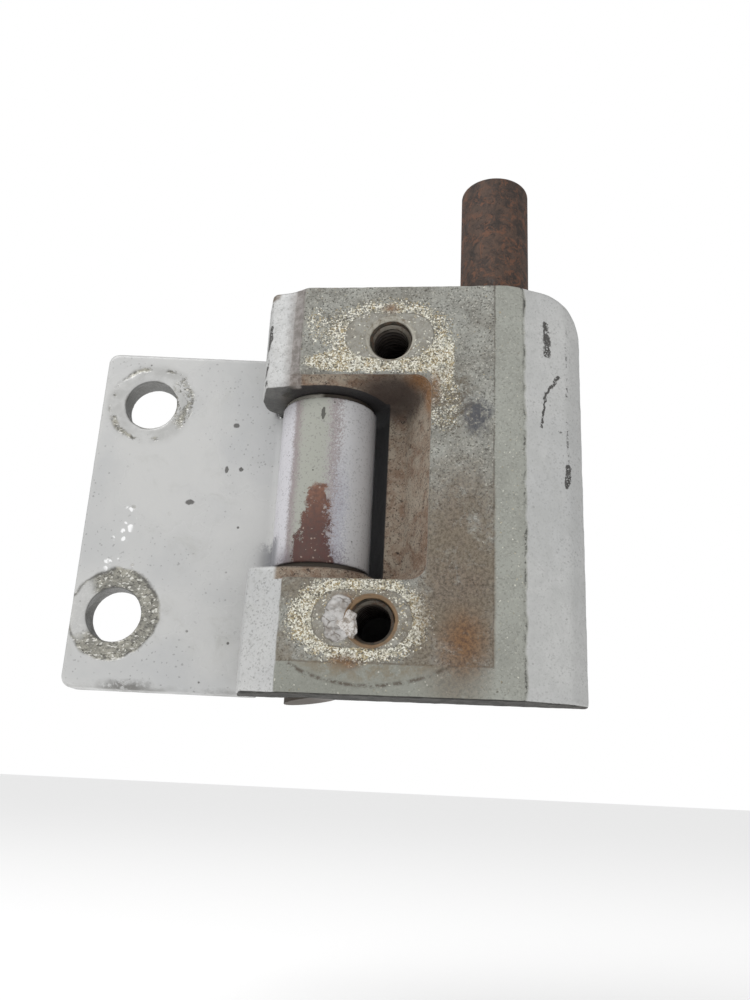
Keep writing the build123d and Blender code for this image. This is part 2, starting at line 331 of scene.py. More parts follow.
# Centre in millimetres and half-widths of the four larger chips between the leaf's holes
LEAF_CHIPS = (
    ((-39.9, 0, -2.0), (0.95, 60, 0.55)),
    ((-33.2, 0, 5.3), (0.35, 60, 0.75)),
    ((-30.3, 0, 5.5), (0.45, 60, 0.5)),
    ((-32.1, 0, 15.1), (0.6, 60, 0.45)),
)


def washer_wear(g, ragged):
    """Paint worn through round the bolt holes: where, the metal's colour, grain and pits, and a soft rub."""
    grain = g.noise(0.7, 6, 0.8, 0.5, 7.0)
    pits = g.step(grain, 0.50, 0.38)
    shade = g.patches(0.38, 0.64, 3, 5, 0.7, 0.5, 8.0)
    glint, _, _ = g.facets(0.30, 7.5, g.vector("MULTIPLY", ragged, (0.6, 1.0, 1.2)))
    metal = g.mix(pits, g.mix(shade, WORN_METAL_SHADE, WORN_METAL), BARE_DARK)
    metal = g.over(metal, (0.78, 0.77, 0.72), g.step(glint, 0.86, 0.90), 0.8)
    metal = g.over(metal, (0.085, 0.08, 0.07), g.step(glint, 0.16, 0.12), 0.7)
    upper = g.away(upper_leaf_hole, ragged)
    lower = g.away(lower_leaf_hole, ragged)
    left_over = g.patches(0.44, 0.52, 5, 5, 0.7, 0.6, 9.0)
    right_side = g.spot(upper_leaf_hole + Vector((8.0, 0, 1.5)), (3.6, 30.0, 6.8), ragged, soft=0.2)
    diagonal = upper_leaf_hole.x + upper_leaf_hole.z
    left_arc = g.times(g.band(upper, 8.3, 9.2, 0.3), g.step(g.add(g.x, g.z), diagonal - 1, diagonal - 5))
    top_arc = g.times(g.band(upper, 8.4, 9.1, 0.3), g.step(g.z, upper_leaf_hole.z + 4, upper_leaf_hole.z + 7))
    right_arc = g.times(right_side, g.step(upper, 9.6, WASHER_RADIUS))
    upper_worn = g.times(g.most(right_arc, left_arc, top_arc), g.without(left_over))
    upper_worn = g.most(upper_worn, g.times(g.step(upper, 6.3, 5.6), 0.75))
    lower_worn = g.step(lower, 9.7, WASHER_RADIUS)
    left_side = g.spot(lower_leaf_hole + Vector((-6.5, 0, 1.0)), (3.6, 30.0, 6.0), ragged, soft=0.25)
    kept = g.times(left_side, g.band(lower, 5.6, WASHER_RADIUS, 0.3))
    lower_worn = g.times(lower_worn, g.without(g.times(kept, 0.9)))
    worn = g.most(upper_worn, lower_worn)
    rims = g.most(g.band(upper, 8.7, 9.3, 0.25), g.band(lower, 8.7, 9.7, 0.3))
    rims = g.times(rims, g.patches(0.46, 0.56, 3.5, 4, 0.7, 0.4, 9.5))
    metal = g.over(metal, (0.10, 0.098, 0.09), rims, 0.8)
    rubbed = g.times(g.band(upper, 6.4, 9.4, 1.0), g.patches(0.30, 0.62, 4, 4, 0.6, 0.4, 9.7))
    return worn, metal, grain, pits, rubbed


def knuckle_paint(g):
    """A bare green-grey band down the knuckle's front, violet overspray beside it and rust below."""
    turn = g.math("ARCTAN2", g.subtract(g.x, hinge_x), g.subtract(hinge_y, g.y))
    from_axis = g.away((hinge_x, hinge_y, 0), g.join(g.x, g.y, 0.0))
    knuckle = g.step(from_axis, KNUCKLE_RADIUS + 0.5, KNUCKLE_RADIUS + 0.2)
    knuckle = g.times(knuckle, g.band(g.z, -KNUCKLE_HALF, KNUCKLE_HALF, 0.05))
    grit = g.subtract(g.noise(0.36, 3, 0.8, 0.0, 13.0), 0.5)
    sway = g.subtract(g.noise(6, 4, 0.6, 0.5, 14.0), 0.5)
    swayed = g.add(turn, g.times(sway, 0.25))
    sprayed = g.add(swayed, g.times(grit, 1.1))
    middle = g.band(g.add(swayed, g.times(grit, 0.7)), -0.46, 0.20, 0.10)
    left_violet = g.band(g.add(swayed, g.times(grit, 0.35)), -0.62, -0.37, 0.07)
    right_violet = g.band(sprayed, 0.18, 0.40, 0.12)
    lilac_edge = g.times(g.band(sprayed, 0.36, 0.62, 0.12), g.step(g.z, 12.0, -8.0))
    # Painted light: the knuckle's left is coloured lighter than its right, as lit from the left, over lilac
    # overspray
    side_paint_and_light = g.mix(g.step(turn, -0.5, 0.5), LIT_LILAC_PAINT, (0.50, 0.50, 0.51))
    barrel = g.over(side_paint_and_light, VIOLET_PAINT, g.most(left_violet, right_violet), 0.85)
    barrel = g.over(barrel, (0.26, 0.26, 0.33), lilac_edge, 0.55)
    barrel = g.over(barrel, (0.345, 0.35, 0.31), middle, g.without(g.times(right_violet, 0.5)))
    barrel = g.over(barrel, (0.12, 0.115, 0.12), g.step(g.facets(0.26, 15.0)[0], 0.13, 0.07), 0.32)
    fleck = g.times(g.step(g.cells(1.5, 16.0), 0.17, 0.10), g.patches(0.44, 0.54, 4, 2, 0.5, 0.0, 16.5))
    barrel = g.over(barrel, PIT_DARK, fleck, 0.75)
    # The rust's two edges lean together upwards, and grain frays them
    edge_noise = g.add(g.times(g.subtract(g.noise(2.4, 5, 0.7, 0.4, 17.0), 0.5), 0.8), g.times(grit, 0.35))
    rust_left = g.subtract(g.add(turn, edge_noise), g.add(-0.06, g.times(g.z, 0.026)))
    rust_right = g.subtract(g.add(turn, edge_noise), g.add(0.17, g.times(g.z, -0.0115)))
    rust = g.times(g.step(rust_left, -0.05, 0.05), g.step(rust_right, 0.05, -0.05))
    rust = g.times(rust, g.step(g.add(g.z, g.times(edge_noise, 6)), -0.5, -2.0))
    deep = g.step(g.z, 0.0, -12.0)
    rust_colour = g.mix(deep, (0.20, 0.082, 0.046), (0.076, 0.022, 0.016))
    rust_clouds = g.times(g.patches(0.40, 0.62, 1.0, 4, 0.7, 0.0, 18.0), 0.6)
    rust_colour = g.mix(rust_clouds, rust_colour, (0.055, 0.026, 0.022))
    rust_specks = g.times(g.step(g.facets(0.28, 18.5)[0], 0.975, 0.985), 0.6)
    rust_colour = g.mix(rust_specks, rust_colour, (0.42, 0.33, 0.27))
    barrel = g.over(barrel, rust_colour, rust, 0.95)
    bottom_haze = g.step(g.add(g.z, g.times(grit, 6)), -12.0, -16.0)
    bottom_haze = g.times(bottom_haze, g.band(sprayed, -0.85, 0.62, 0.2), 0.6)
    barrel = g.over(barrel, (0.14, 0.11, 0.13), bottom_haze, g.without(rust))
    mark_place = (hinge_x + 0.3, hinge_y - KNUCKLE_RADIUS, 13.0)
    mark = g.spot(mark_place, (0.45, 1.5, 1.3), g.wavering(0.5, 1.2, 20.0), soft=0.1)
    barrel = g.over(barrel, PIT_DARK, mark, 0.85)
    return from_axis, knuckle, barrel, rust, middle


def leaf_material():
    g = Graph("leaf_worn_paint")
    colour, roughness, height = paint_layer(g, 3.0)
    ragged = g.wavering(1.3, 4.0, 5.0)
    worn, metal, grain, pits, rubbed = washer_wear(g, ragged)
    colour = g.over(colour, (0.27, 0.27, 0.255), rubbed, 0.42)
    # Small chips scattered round and above the lower hole
    near_lower = g.spot(lower_leaf_hole + Vector((1, 0, 9)), (9, 12, 12), soft=0.5)
    chips = g.times(g.step(g.cells(3.6, 4.0, ragged), 0.20, 0.12), near_lower)
    chips = g.times(chips, g.patches(0.45, 0.55, 4, 2, 0.5, 0.0, 11.0))
    worn = g.most(worn, chips)
    colour = g.mix(worn, colour, metal)
    roughness = g.blend(worn, roughness, g.blend(pits, 0.38, 0.7))
    height = g.blend(worn, height, g.subtract(g.times(grain, 0.14), 0.12))
    metallic = g.times(worn, g.without(pits), 0.55)

    ragged_marks = g.wavering(0.35, 0.8, 9.9)
    for centre, radii in LEAF_CHIPS:
        mark = g.spot(centre, radii, ragged_marks, soft=0.2)
        colour = g.over(colour, PIT_DARK, mark, 0.8)
        height = g.subtract(height, g.times(mark, 0.1))

    # The walls of the two holes are bare and grimy
    in_hole = g.most(g.step(g.away_from_line(upper_leaf_hole, leaf_normal), *LEAF_HOLE_WALL),
                     g.step(g.away_from_line(lower_leaf_hole, leaf_normal), *LEAF_HOLE_WALL))
    colour = g.over(colour, (0.135, 0.135, 0.13), in_hole, 0.85)

    # Painted highlights: near-white glints on the gloss between the holes
    path = g.streak((-51.2, -4.6), (-54.2, -15.6), 1.9, ragged)
    glint_zones = g.patches(0.40, 0.46, 2.0, 3, 0.6, 0.0, 11.5)
    painted_glints = g.times(path, g.step(g.cells(1.9, 4.4, ragged), 0.42, 0.34), glint_zones)
    colour = g.mix(painted_glints, colour, (0.95, 0.95, 0.95))
    roughness = g.blend(painted_glints, roughness, 0.12)
    # Dirt along the lower edge; the corner between plate and knuckle is coloured darker towards the bottom
    uneven_z = g.add(g.z, g.times(g.noise(5, 5, 0.75, 0.4, 12.0), 5.0))
    edge = g.step(uneven_z, leaf_low.z + 3.8, leaf_low.z + 2.2)
    edge = g.times(edge, g.patches(0.40, 0.62, 14, 3, 0.6, 0.0, 12.5))
    smear = g.spot((-48.0, 17.0, leaf_low.z + 0.2), (5.0, 12.0, 1.5), g.wavering(1.0, 1.6, 12.2), soft=0.6)
    edge = g.most(edge, g.times(smear, g.patches(0.36, 0.52, 1.0, 5, 0.8, 0.3, 12.3)))
    colour = g.over(colour, (0.12, 0.115, 0.105), edge, 0.85)
    uneven_z = g.add(g.z, g.times(g.subtract(g.noise(1.0, 5, 0.85, 0.4, 12.7), 0.5), 9.0))
    web_corner_dark = g.step(uneven_z, -9.6, -11.6)
    web_corner_dark = g.times(web_corner_dark, g.step(g.x, -26.5, -22.0), g.step(g.x, -19.0, -20.5))

    from_axis, knuckle, barrel, rust, middle = knuckle_paint(g)
    colour = g.mix(knuckle, colour, barrel)
    colour = g.over(colour, (0.085, 0.085, 0.105), web_corner_dark, 0.75)
    roughness = g.blend(knuckle, roughness, g.blend(g.most(rust, middle), 0.30, 0.66))
    height = g.blend(knuckle, height, g.times(g.noise(1.3, 4, 0.7, 0.0, 19.0), g.blend(rust, 0.04, 0.14)))
    # Painted shade: the knuckle's end faces, in the gaps under the ears, are coloured nearly black
    knuckle_end_shade = g.times(g.step(g.math("ABSOLUTE", g.z), 16.35, 16.5), g.step(from_axis, 10.0, 9.8))
    colour = g.over(colour, (0.05, 0.045, 0.04), knuckle_end_shade, 0.9)
    return g.finish(colour, roughness, metallic, height)


# ------------------------------------------------------------ bracket
# For each tapped hole: the slotted washer's print, how much wider than its usual size it is, and the zones
# of bright bedding metal round it with their half-widths and densities
RINGS = (
    ((upper_tap.x - 0.2, 0, upper_tap.z + 0.6), 0.0, (
        ((upper_tap.x - 0.6, 0, upper_tap.z + 0.9), (12.4, 6, 7.2), 0.85),
        ((-5.0, 0, 22.8), (10.4, 6, 2.5), 1.5),
        ((6.0, 0, 23.6), (6.6, 6, 3.4), 1.5),
        ((10.8, 0, 22.0), (2.4, 6, 7.0), 1.1),
        ((11.2, 0, 14.5), (3.0, 6, 6.0), 0.5),
        ((-14.0, 0, 30.5), (1.8, 6, 4.0), 0.45),
    )),
    ((lower_tap.x - 1.6, 0, lower_tap.z + 0.3), 0.3, (
        ((lower_tap.x - 2.0, 0, lower_tap.z + 0.4), (12.5, 6, 7.5), 1.4),
    )),
)
WASHER_SLOT_HALF = 3.8      # half the straight run of the slotted washer's print
WASHER_SLOT_RADIUS = 4.6    # the radius of its ends
# Centre and half-widths of the orange rust patches on the mating face
ORANGE_PATCHES = (
    ((-4.6, 0, -34.9), (2.4, 4, 1.2)),
    ((15.6, 0, -30.6), (3.4, 4, 4.6)),
    ((9.4, 0, 17.0), (1.0, 4, 3.0)),
    ((-5.6, 0, -24.2), (2.0, 4, 1.6)),
    ((0.4, 0, 33.8), (1.4, 4, 0.9)),
)


def bare_casting(g, ragged):
    """Grey-green casting, pitted and flecked with bright metal all over."""
    clouds = g.noise(9, 6, 0.7, 0.8, 35.0)
    cast = g.mix(g.step(clouds, 0.36, 0.64), (0.20, 0.195, 0.17), (0.335, 0.34, 0.31))
    patches = g.patches(0.44, 0.60, 3.2, 6, 0.75, 0.8, 35.5)
    cast = g.over(cast, (0.35, 0.35, 0.315), patches, 0.6)
    fine = g.noise(0.62, 5, 0.85, 0.3, 36.0)
    pits = g.step(fine, 0.47, 0.38)
    cast = g.over(cast, (0.055, 0.048, 0.038), pits, 0.85)
    bright = g.step(fine, 0.57, 0.66)
    cast = g.over(cast, (0.47, 0.46, 0.405), bright, 0.55)
    speck, _, _ = g.facets(0.27, 36.5, ragged)
    cast = g.over(cast, (0.06, 0.055, 0.045), g.step(speck, 0.10, 0.06), 0.75)
    light_specks = g.times(g.step(speck, 0.88, 0.94), 0.5)
    cast = g.mix(light_specks, cast, (0.55, 0.54, 0.48))
    return cast, clouds, fine, bright, light_specks


def mated_print(g, cast, light_specks, lx, lz):
    """The print of the mated part: cleaner metal inside its outline, paler paint outside."""
    under_print = g.step(lz, PRINT_BOTTOM + 0.2, PRINT_BOTTOM - 0.2)
    outside = g.most(g.step(lx, PRINT_RIGHT - 0.2, PRINT_RIGHT + 0.2), under_print)
    cast = g.over(cast, (0.35, 0.36, 0.32), outside, g.most(light_specks, 0.6))
    below = g.times(under_print, g.step(lx, PRINT_RIGHT + 1.0, PRINT_RIGHT - 6.0))
    cast = g.over(cast, (0.205, 0.21, 0.175), below, 0.45)
    right_line = g.band(lx, PRINT_RIGHT - 0.25, PRINT_RIGHT, 0.12)
    right_line = g.times(right_line, g.step(lz, PRINT_BOTTOM - 0.3, PRINT_BOTTOM + 0.3))
    bottom_line = g.band(lz, PRINT_BOTTOM, PRINT_BOTTOM + 0.3, 0.12)
    bottom_line = g.times(bottom_line, g.step(lx, PRINT_RIGHT + 0.3, PRINT_RIGHT - 0.3))
    line = g.times(g.most(right_line, bottom_line), g.patches(0.36, 0.56, 3, 4, 0.7, 0.3, 37.5))
    return g.over(cast, (0.085, 0.075, 0.06), line, 0.75)


def bedding_rings(g, cast):
    """Bright crushed metal round the tapped holes, each with the grey print of a slotted washer inside."""
    loose = g.wavering(1.6, 3.0, 39.0)
    crisp = g.wavering(0.22, 2.2, 39.1)
    tone, chance, _ = g.facets(0.25, 38.2, g.wavering(0.3, 0.5, 38.4))
    tan = g.mix(g.patches(0.42, 0.60, 2.4, 4, 0.6, 0.5, 38.5), (0.46, 0.43, 0.33), (0.42, 0.33, 0.17))
    crushed = g.add(g.times(tone, 0.62), g.times(g.noise(0.8, 4, 0.8, 0.5, 38.7), 0.38))
    metal_colour = g.mix(g.step(crushed, 0.20, 0.42), (0.10, 0.088, 0.062), tan)
    metal_colour = g.mix(g.step(crushed, 0.44, 0.72), metal_colour, (0.88, 0.86, 0.76))
    clumps = g.blend(g.patches(0.36, 0.52, 2.4, 5, 0.75, 0.6, 39.2), 0.55, 1.0)
    all_shown = []
    for slot_centre, slot_extra, zones in RINGS:
        spots = [g.times(g.spot(centre, radii, loose, soft=0.16), share) for centre, radii, share in zones]
        density = g.most(*spots)
        sx, _, sz = g.split(g.vector("SUBTRACT", crisp, tuple(slot_centre)))
        flat = g.most(g.subtract(g.math("ABSOLUTE", sx), WASHER_SLOT_HALF), 0.0)
        slot_away = g.away((0, 0, 0), g.join(flat, 0.0, sz))
        slot_radius = WASHER_SLOT_RADIUS + slot_extra
        core = g.step(slot_away, slot_radius + 0.4, slot_radius)
        outline = g.band(slot_away, slot_radius + 0.05, slot_radius + 0.3, 0.14)
        thinned = g.times(density, clumps, g.without(g.times(core, 0.88)))
        shown = g.step(g.subtract(thinned, chance), -0.03, 0.03)
        all_shown.append(shown)
        core_clouds = g.patches(0.38, 0.62, 2.2, 6, 0.75, 0.5, 39.5)
        core_colour = g.mix(core_clouds, (0.23, 0.215, 0.18), (0.36, 0.35, 0.31))
        cast = g.over(cast, core_colour, core, 0.85)
        cast = g.over(cast, metal_colour, shown, 0.94)
        broken = g.patches(0.42, 0.55, 2.0, 3, 0.6, 0.0, 39.7)
        cast = g.over(cast, (0.09, 0.08, 0.065), outline, broken, 0.7)
    return cast, g.most(*all_shown), crushed


def face_stains(g, cast, ragged, fine, sparkle, lx, lz):
    """Brown, warm, umber, blue and orange stains on the mating face, and an arc of dirt below the print."""
    brown = g.spot((14.5, 0, -20.0), (7.0, 5.0, 20.0), ragged, soft=0.5)
    brown = g.times(brown, g.patches(0.34, 0.48, 7, 6, 0.8, 0.8, 40.0))
    brown = g.times(brown, g.step(lx, PRINT_RIGHT + 0.6, PRINT_RIGHT - 0.2))
    brown_colour = g.mix(g.step(fine, 0.42, 0.58), (0.075, 0.050, 0.032), (0.20, 0.145, 0.095))
    cast = g.over(cast, brown_colour, brown, 0.82)
    lower_half = g.blend(g.step(g.z, 8.0, -12.0), 0.12, 0.78)
    warm = g.times(g.patches(0.40, 0.60, 8, 6, 0.75, 0.6, 40.5), lower_half, g.without(sparkle))
    warm = g.times(warm, g.step(lx, PRINT_RIGHT + 0.4, PRINT_RIGHT - 0.2))
    warm = g.times(warm, g.step(lz, PRINT_BOTTOM - 0.2, PRINT_BOTTOM + 0.2))
    cast = g.mix(warm, cast, g.mix(g.step(fine, 0.40, 0.60), (0.115, 0.09, 0.06), (0.22, 0.185, 0.135)))
    mottled = g.patches(0.46, 0.54, 1.6, 6, 0.85, 0.6, 41.5)
    umber = g.spot((13.0, 0, 14.0), (4.2, 6.0, 6.5), g.wavering(2.5, 4.0, 41.2), soft=0.5)
    cast = g.over(cast, (0.10, 0.075, 0.045), umber, mottled, 0.75)
    blue = g.spot((17.0, 0, 11.3), (2.9, 6.0, 4.0), g.wavering(3.0, 4.0, 41.0), soft=0.5)
    blue = g.times(blue, g.patches(0.42, 0.52, 1.4, 6, 0.85, 0.6, 41.7), 0.85)
    cast = g.mix(blue, cast, (0.055, 0.058, 0.072))
    orange = g.most(*[g.spot(centre, radii, ragged, soft=0.8) for centre, radii in ORANGE_PATCHES])
    orange = g.times(orange, g.patches(0.34, 0.46, 1.8, 6, 0.8, 0.5, 42.0))
    orange_colour = g.mix(g.step(fine, 0.42, 0.58), (0.095, 0.042, 0.016), (0.23, 0.105, 0.03))
    cast = g.over(cast, orange_colour, orange, 0.8)
    from_arc = g.away((-1.0, 0, -16.5), g.join(g.times(lx, 0.86), 0.0, lz))
    below_print = g.step(g.z, PRINT_BOTTOM + 0.4, PRINT_BOTTOM - 0.2)
    arc = g.times(g.band(from_arc, 21.9, 22.5, 0.25), below_print)
    arc = g.times(arc, g.patches(0.40, 0.54, 1.6, 5, 0.8, 0.5, 42.5))
    inside_arc = g.times(g.step(from_arc, 22.3, 20.4), below_print)
    inside_arc = g.times(inside_arc, g.patches(0.40, 0.56, 2.4, 6, 0.8, 0.6, 42.7))
    cast = g.over(cast, (0.20, 0.15, 0.085), inside_arc, 0.55)
    return g.over(cast, (0.075, 0.055, 0.038), arc, 0.85)


def spilt_sealant(g, cast):
    """Dried sealant spilt on the face beside the lower hole, in crazed lumps, with painted shade in the creases
    between them.
    """
    crust_place = (lower_tap.x - 5.6, 0.0, lower_tap.z + 0.3)
    crust = g.spot(crust_place, (3.0, 4.0, 4.2), g.wavering(1.1, 3.0, 43.0), soft=0.05)
    stretched = g.vector("MULTIPLY", g.wavering(0.8, 2.2, 43.2), (0.7, 1.0, 1.35))
    crumbs = g.cracks(2.4, 3.1, stretched)
    lump_clouds = g.patches(0.36, 0.60, 2.0, 4, 0.6, 0.8, 43.7)
    lumps = g.mix(lump_clouds, (0.33, 0.305, 0.28), (0.60, 0.585, 0.57))
    # Painted shade: the creases between the lumps are coloured dark
    crease_shade = g.times(g.step(crumbs, 0.07, 0.01), g.patches(0.46, 0.56, 2.6, 3, 0.6, 0.0, 43.9))
    crust_colour = g.over(lumps, (0.13, 0.11, 0.09), crease_shade, 0.8)
    return g.mix(crust, cast, crust_colour), crust, crumbs


def pocket_grime_and_shade(g, ragged, clouds):
    """Rust dust over the rough casting in the pocket and the seat, and painted shade: the hollow round the
    knuckle coloured nearly black.
    """
    in_pocket = g.times(g.step(g.y, 0.35, 0.55), g.band(g.x, POCKET_LEFT, POCKET_RIGHT, 0.05))
    in_pocket = g.times(in_pocket, g.band(g.z, -POCKET_HALF, POCKET_HALF, 0.05))
    from_axis = g.away((hinge_x, hinge_y, 0), g.join(g.x, g.y, 0.0))
    in_pocket = g.times(in_pocket, g.step(g.add(g.y, g.times(clouds, 6.0)), 17.5, 14.5))
    in_pocket = g.times(in_pocket, g.step(g.x, -22.5, -19.5))
    height_off_middle = g.math("ABSOLUTE", g.z)
    ear_front = g.times(g.step(from_axis, EAR_RADIUS - 0.1, EAR_RADIUS + 0.1), g.step(g.x, -18.0, -19.0))
    in_pocket = g.times(in_pocket, g.without(g.times(ear_front, g.step(height_off_middle, 17.2, 17.6))))
    dust_clouds = g.noise(5, 5, 0.7, 0.5, 44.0)
    dust = g.mix(g.step(dust_clouds, 0.38, 0.62), RUST_DUST, (0.30, 0.255, 0.20))
    dust = g.mix(g.patches(0.46, 0.36, 1.0, 5, 0.8, 0.2, 45.0), dust, RUST_DARK)
    # Painted shade: the concave corner by the upper ear is coloured dark brown over the dust
    upper_corner_shade = g.spot((0.8, 6.5, 18.0), (6.8, 7.0, 4.2), ragged, soft=0.5)
    dust = g.over(dust, (0.045, 0.030, 0.024), upper_corner_shade, 0.92)
    orange_patch = g.most(g.spot((8.6, 1.2, 16.0), (1.3, 2.4, 4.0), ragged, soft=0.7),
                          g.spot((6.8, 1.6, 19.0), (3.0, 2.4, 1.8), ragged, soft=0.7))
    dust = g.over(dust, RUST_ORANGE, orange_patch, 0.8)
    dust_speck, _, _ = g.facets(0.26, 45.5)
    dust = g.over(dust, (0.05, 0.035, 0.026), g.step(dust_speck, 0.16, 0.08), 0.6)
    light_dust = g.times(g.step(dust_speck, 0.86, 0.94), 0.35, g.without(upper_corner_shade))
    dust = g.mix(light_dust, dust, (0.40, 0.35, 0.28))
    # Painted shade: the hollow round the knuckle and the ears' inner ends are coloured nearly black
    inboard = g.step(g.x, -21.5, -18.5)
    near_knuckle = g.step(from_axis, *HOLLOW_EDGE)
    hollow = g.times(g.most(near_knuckle, g.step(g.y, 10.9, 11.3)), g.step(g.y, 5.5, 7.5), inboard)
    ear_end = g.times(near_knuckle, g.band(height_off_middle, 17.0, 18.05, 0.1), inboard)
    lower_shelf = g.times(ear_end, g.step(g.z, 0.0, -5.0))
    hollow_shade = g.most(hollow, g.times(ear_end, g.without(g.times(lower_shelf, 0.6))))
    hollow_shade = g.times(hollow_shade, g.band(g.z, -18.1, 18.1, 0.05))
    return in_pocket, dust, hollow_shade


def tapped_holes(g, colour, roughness):
    """The upper hole's mouth is rubbed pale and the lower one's is rusty; past the mouth both bores are
    coloured nearly black, painted shade.
    """
    for tap, mouth_colour in ((upper_tap, (0.44, 0.42, 0.36)), (lower_tap, (0.24, 0.155, 0.085))):
        bore = g.away((tap.x, 0, tap.z), g.join(g.x, 0.0, g.z))
        bore = g.times(g.step(bore, 5.0, 4.75), g.step(g.y, 0.10, 0.25), g.step(g.y, 19.0, 18.0))
        mouth = g.mix(g.patches(0.48, 0.68, 1.2, 5, 0.7, 0.3, 47.0), mouth_colour, (0.17, 0.13, 0.085))
        # Painted shade: deeper than the mouth the bore is coloured nearly black
        mouth_and_bore_shade = g.mix(g.step(g.y, 0.9, 1.9), mouth, (0.014, 0.011, 0.010))
        colour = g.mix(bore, colour, mouth_and_bore_shade)
        roughness = g.blend(bore, roughness, 0.7)
    return colour, roughness


def slope_dirt(g, colour):
    """The slope beside the pad is rubbed brown, and hazy dirt spreads from it over the upper nose."""
    slope = g.times(g.band(g.x, SLOPE_LEFT, SLOPE_RIGHT, 0.3), g.step(g.y, 0.2, 0.4), g.step(g.y, 2.2, 1.6))
    haze = g.step(g.add(g.x, g.times(g.noise(1.5, 5, 0.8, 0.3, 48.0), 3.0)), -19.4, -17.0)
    haze = g.times(haze, g.step(g.x, SLOPE_RIGHT, SLOPE_RIGHT - 0.6), g.step(g.y, 2.6, 1.8))
    upper_half = g.step(g.z, 0.0, 5.0)
    slope_clouds = g.patches(0.42, 0.6, 1.6, 5, 0.75, 0.4, 49.0)
    slope_colour = g.mix(slope_clouds, (0.15, 0.13, 0.115), (0.27, 0.245, 0.23))
    return g.over(colour, slope_colour, g.most(g.times(slope, 0.9), g.times(haze, 0.7)), upper_half)


def paint_chips(g, rx, ragged):
    """Chips through the paint along the pad's edge, the outer side and the nose corners."""
    chip_noise = g.noise(1.7, 4, 0.7, 0.4, 50.0)
    frayed = g.wavering(0.8, 1.1, 50.5)
    pad_edge = g.band(rx, PAD_RIGHT - 0.15, PAD_RIGHT + 0.35, 0.15)
    high_up = g.step(g.z, 12.0, 24.0)
    side_edge = g.times(g.band(g.x, 34.1, 34.5, 0.2), g.band(g.z, -8.0, 34.0, 3.0), g.step(g.y, 9.0, 7.0))
    outer_side = g.times(g.step(g.x, 30.0, 34.0), g.patches(0.50, 0.60, 9, 2, 0.5, 0.0, 51.0))
    nose_edge = g.times(g.band(g.x, -24.4, -23.3, 0.2), g.band(g.z, 18.0, 38.5, 0.6), g.step(g.y, 4.5, 3.5))
    chips = g.most(
        g.times(pad_edge, g.step(chip_noise, 0.49, 0.54)),
        g.times(pad_edge, high_up, g.step(chip_noise, 0.38, 0.44)),
        g.times(side_edge, g.step(chip_noise, 0.53, 0.58), 0.8),
        g.times(outer_side, g.patches(0.68, 0.72, 1.1, 3, 0.7, 0.2, 52.0)),
        g.times(nose_edge, g.step(chip_noise, 0.55, 0.59)),
        g.streak((30.2, 31.6), (30.5, 28.4), 0.50, frayed),
        g.streak((30.5, 28.4), (30.6, 25.0), 0.85, frayed),
        g.streak((32.8, 20.6), (30.2, 16.6), 0.38, frayed),
        g.streak((30.2, 16.6), (29.2, 9.6), 0.26, frayed),
        g.streak((34.3, 2.6), (34.0, -1.0), 0.60, frayed),
        g.times(g.streak((-23.6, 31.0), (-23.8, 26.4), 0.55, ragged), g.step(g.y, 6.0, 5.0)),
        g.times(g.streak((-23.9, 22.2), (-23.9, 20.8), 0.5, ragged), g.step(g.y, 6.0, 5.0)),
        g.times(g.streak((-16.1, 27.6), (-16.3, 25.2), 0.4, ragged), g.step(g.y, 2.0, 1.0)),
    )
    crumbled = g.add(g.times(g.facets(0.20, 53.0)[0], 0.5), g.times(g.noise(0.9, 4, 0.7, 0.3, 53.5), 0.9))
    crumbled = g.step(crumbled, 0.46, 0.56)
    return g.times(chips, g.step(g.y, 0.1, 0.3), crumbled)


def underside_dirt_and_shade(g):
    """The casting's underside and the upper ear's lower face, picked by facing down, are dull and dark: dirt,
    and painted shade.
    """
    faces_down = g.step(g.nz, -0.5, -0.75)
    under = g.times(faces_down, g.step(g.z, bracket_low.z + 0.8, bracket_low.z + 0.3))
    under = g.most(under, g.times(faces_down, g.band(g.z, 16.8, 19.6, 0.3), g.step(g.x, -17.5, -19.0), 0.85))
    dirt_clouds = g.patches(0.40, 0.62, 2.5, 5, 0.75, 0.4, 54.0)
    return under, g.mix(dirt_clouds, (0.028, 0.027, 0.024), (0.075, 0.072, 0.066))


